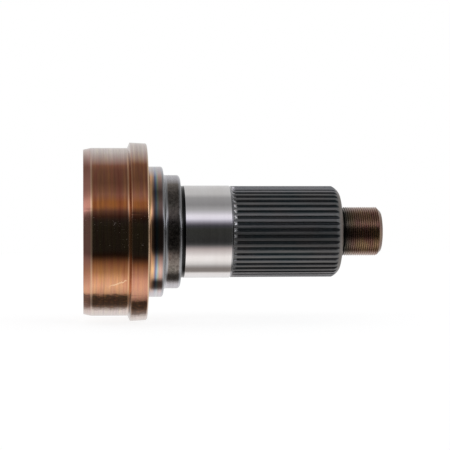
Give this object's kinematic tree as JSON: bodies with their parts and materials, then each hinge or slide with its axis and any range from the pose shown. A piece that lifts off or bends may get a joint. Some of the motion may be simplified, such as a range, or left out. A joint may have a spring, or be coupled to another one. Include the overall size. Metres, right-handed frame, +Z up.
{
  "type": "propeller shaft stub shaft",
  "caption": "Weld-on midship stub shaft: hollow tube seat drum with collar, stepped shoulder, ground bearing journal, fine involute spline and threaded end.",
  "frame": {"origin": "on the shaft's axis, in the plane where the propeller shaft tube ends against the collar", "axes": "+X along the shaft's axis towards the thread, +Z up with the shaft lying level"},
  "size_m": [0.1938, 0.1156, 0.1156],
  "materials": {
    "hub_steel": "turned forged steel with a copper-brown temper colour and fine turning marks all round",
    "shaft_steel": "forged and hardened steel: blue and straw temper bands at the neck, dark scale on the shoulder, bright ground journal, dark spline, brown thread",
    "flash_steel": "rough blued weld flash left inside the bore"
  },
  "bodies": {
    "root": {"tube_hub": "hub_steel", "splined_shaft": "shaft_steel", "weld_flash_ring": "flash_steel"}
  },
  "joints": []
}
